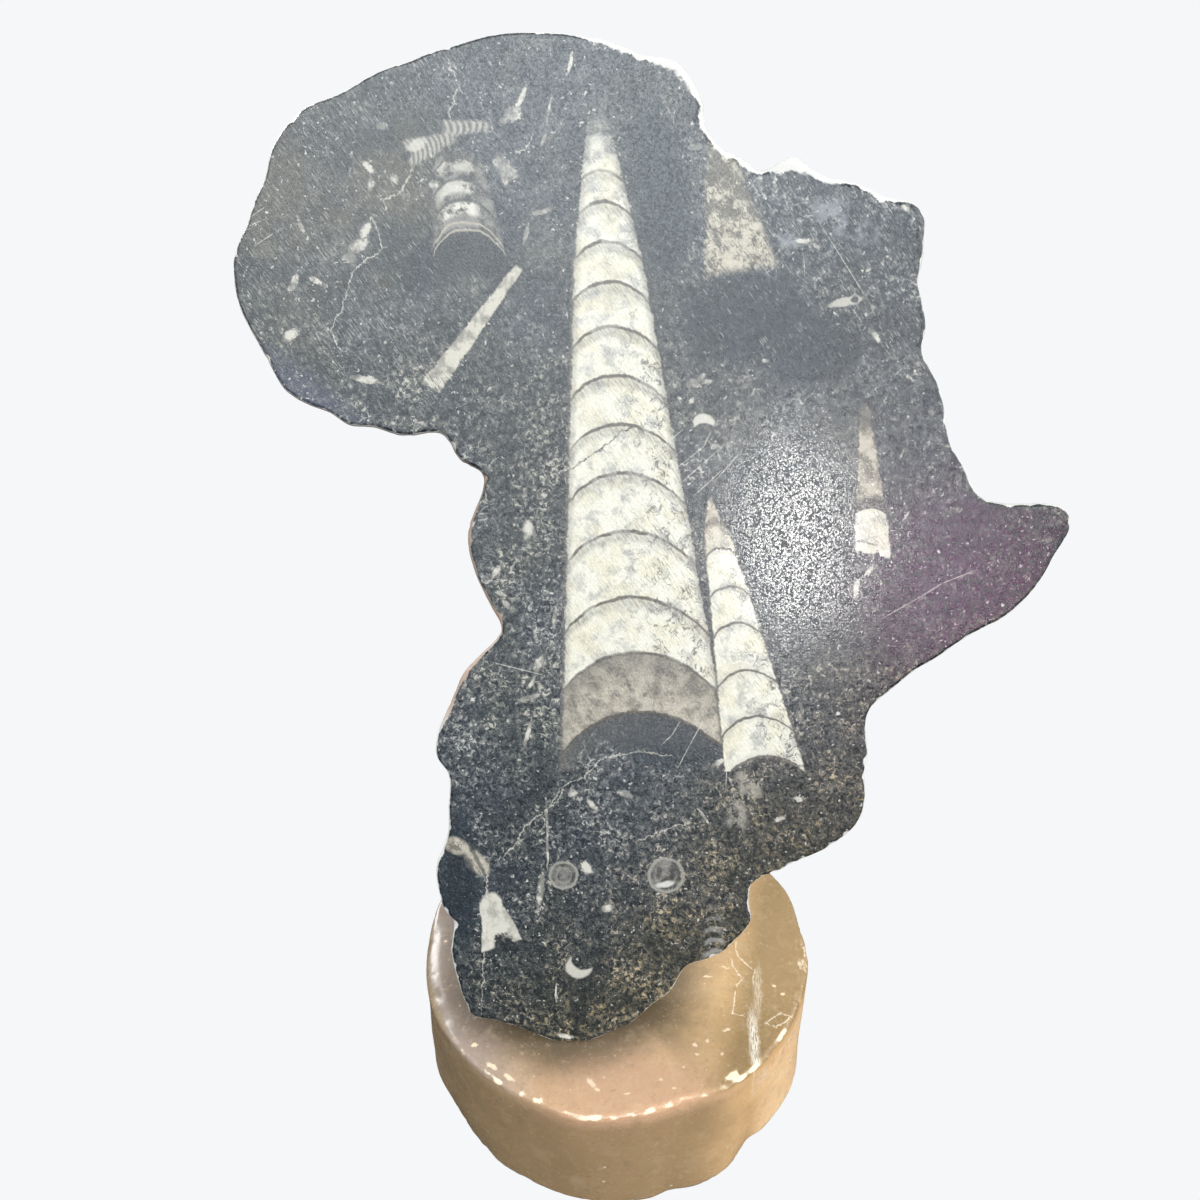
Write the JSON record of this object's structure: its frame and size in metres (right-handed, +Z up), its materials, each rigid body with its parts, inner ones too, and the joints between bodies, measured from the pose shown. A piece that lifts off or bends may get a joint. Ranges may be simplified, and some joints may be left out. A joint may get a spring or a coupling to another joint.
{
  "type": "orthoceras fossil slab on a stone base",
  "caption": "Upright polished slab of dark stone with pale chambered cone fossils, cut to the outline of Africa and leaning back on a round honey-coloured stone base.",
  "frame": {"origin": "centre of the base's flat underside", "axes": "+Z up, -Y towards the front, where the slab's polished face looks, +X to the viewer's right"},
  "size_m": [0.1571, 0.1161, 0.1997],
  "materials": {
    "fossil_stone": "dark blue-grey limestone with cream calcite fossils, pale flecks and thin veins, glossy polish on the face, rough struck edge",
    "honey_stone": "honey and olive banded calcite, slightly translucent, satin polish, with white crystal veins and small white chips at its rims"
  },
  "bodies": {
    "root": {"fossil_slab": "fossil_stone", "stone_base": "honey_stone"}
  },
  "joints": []
}
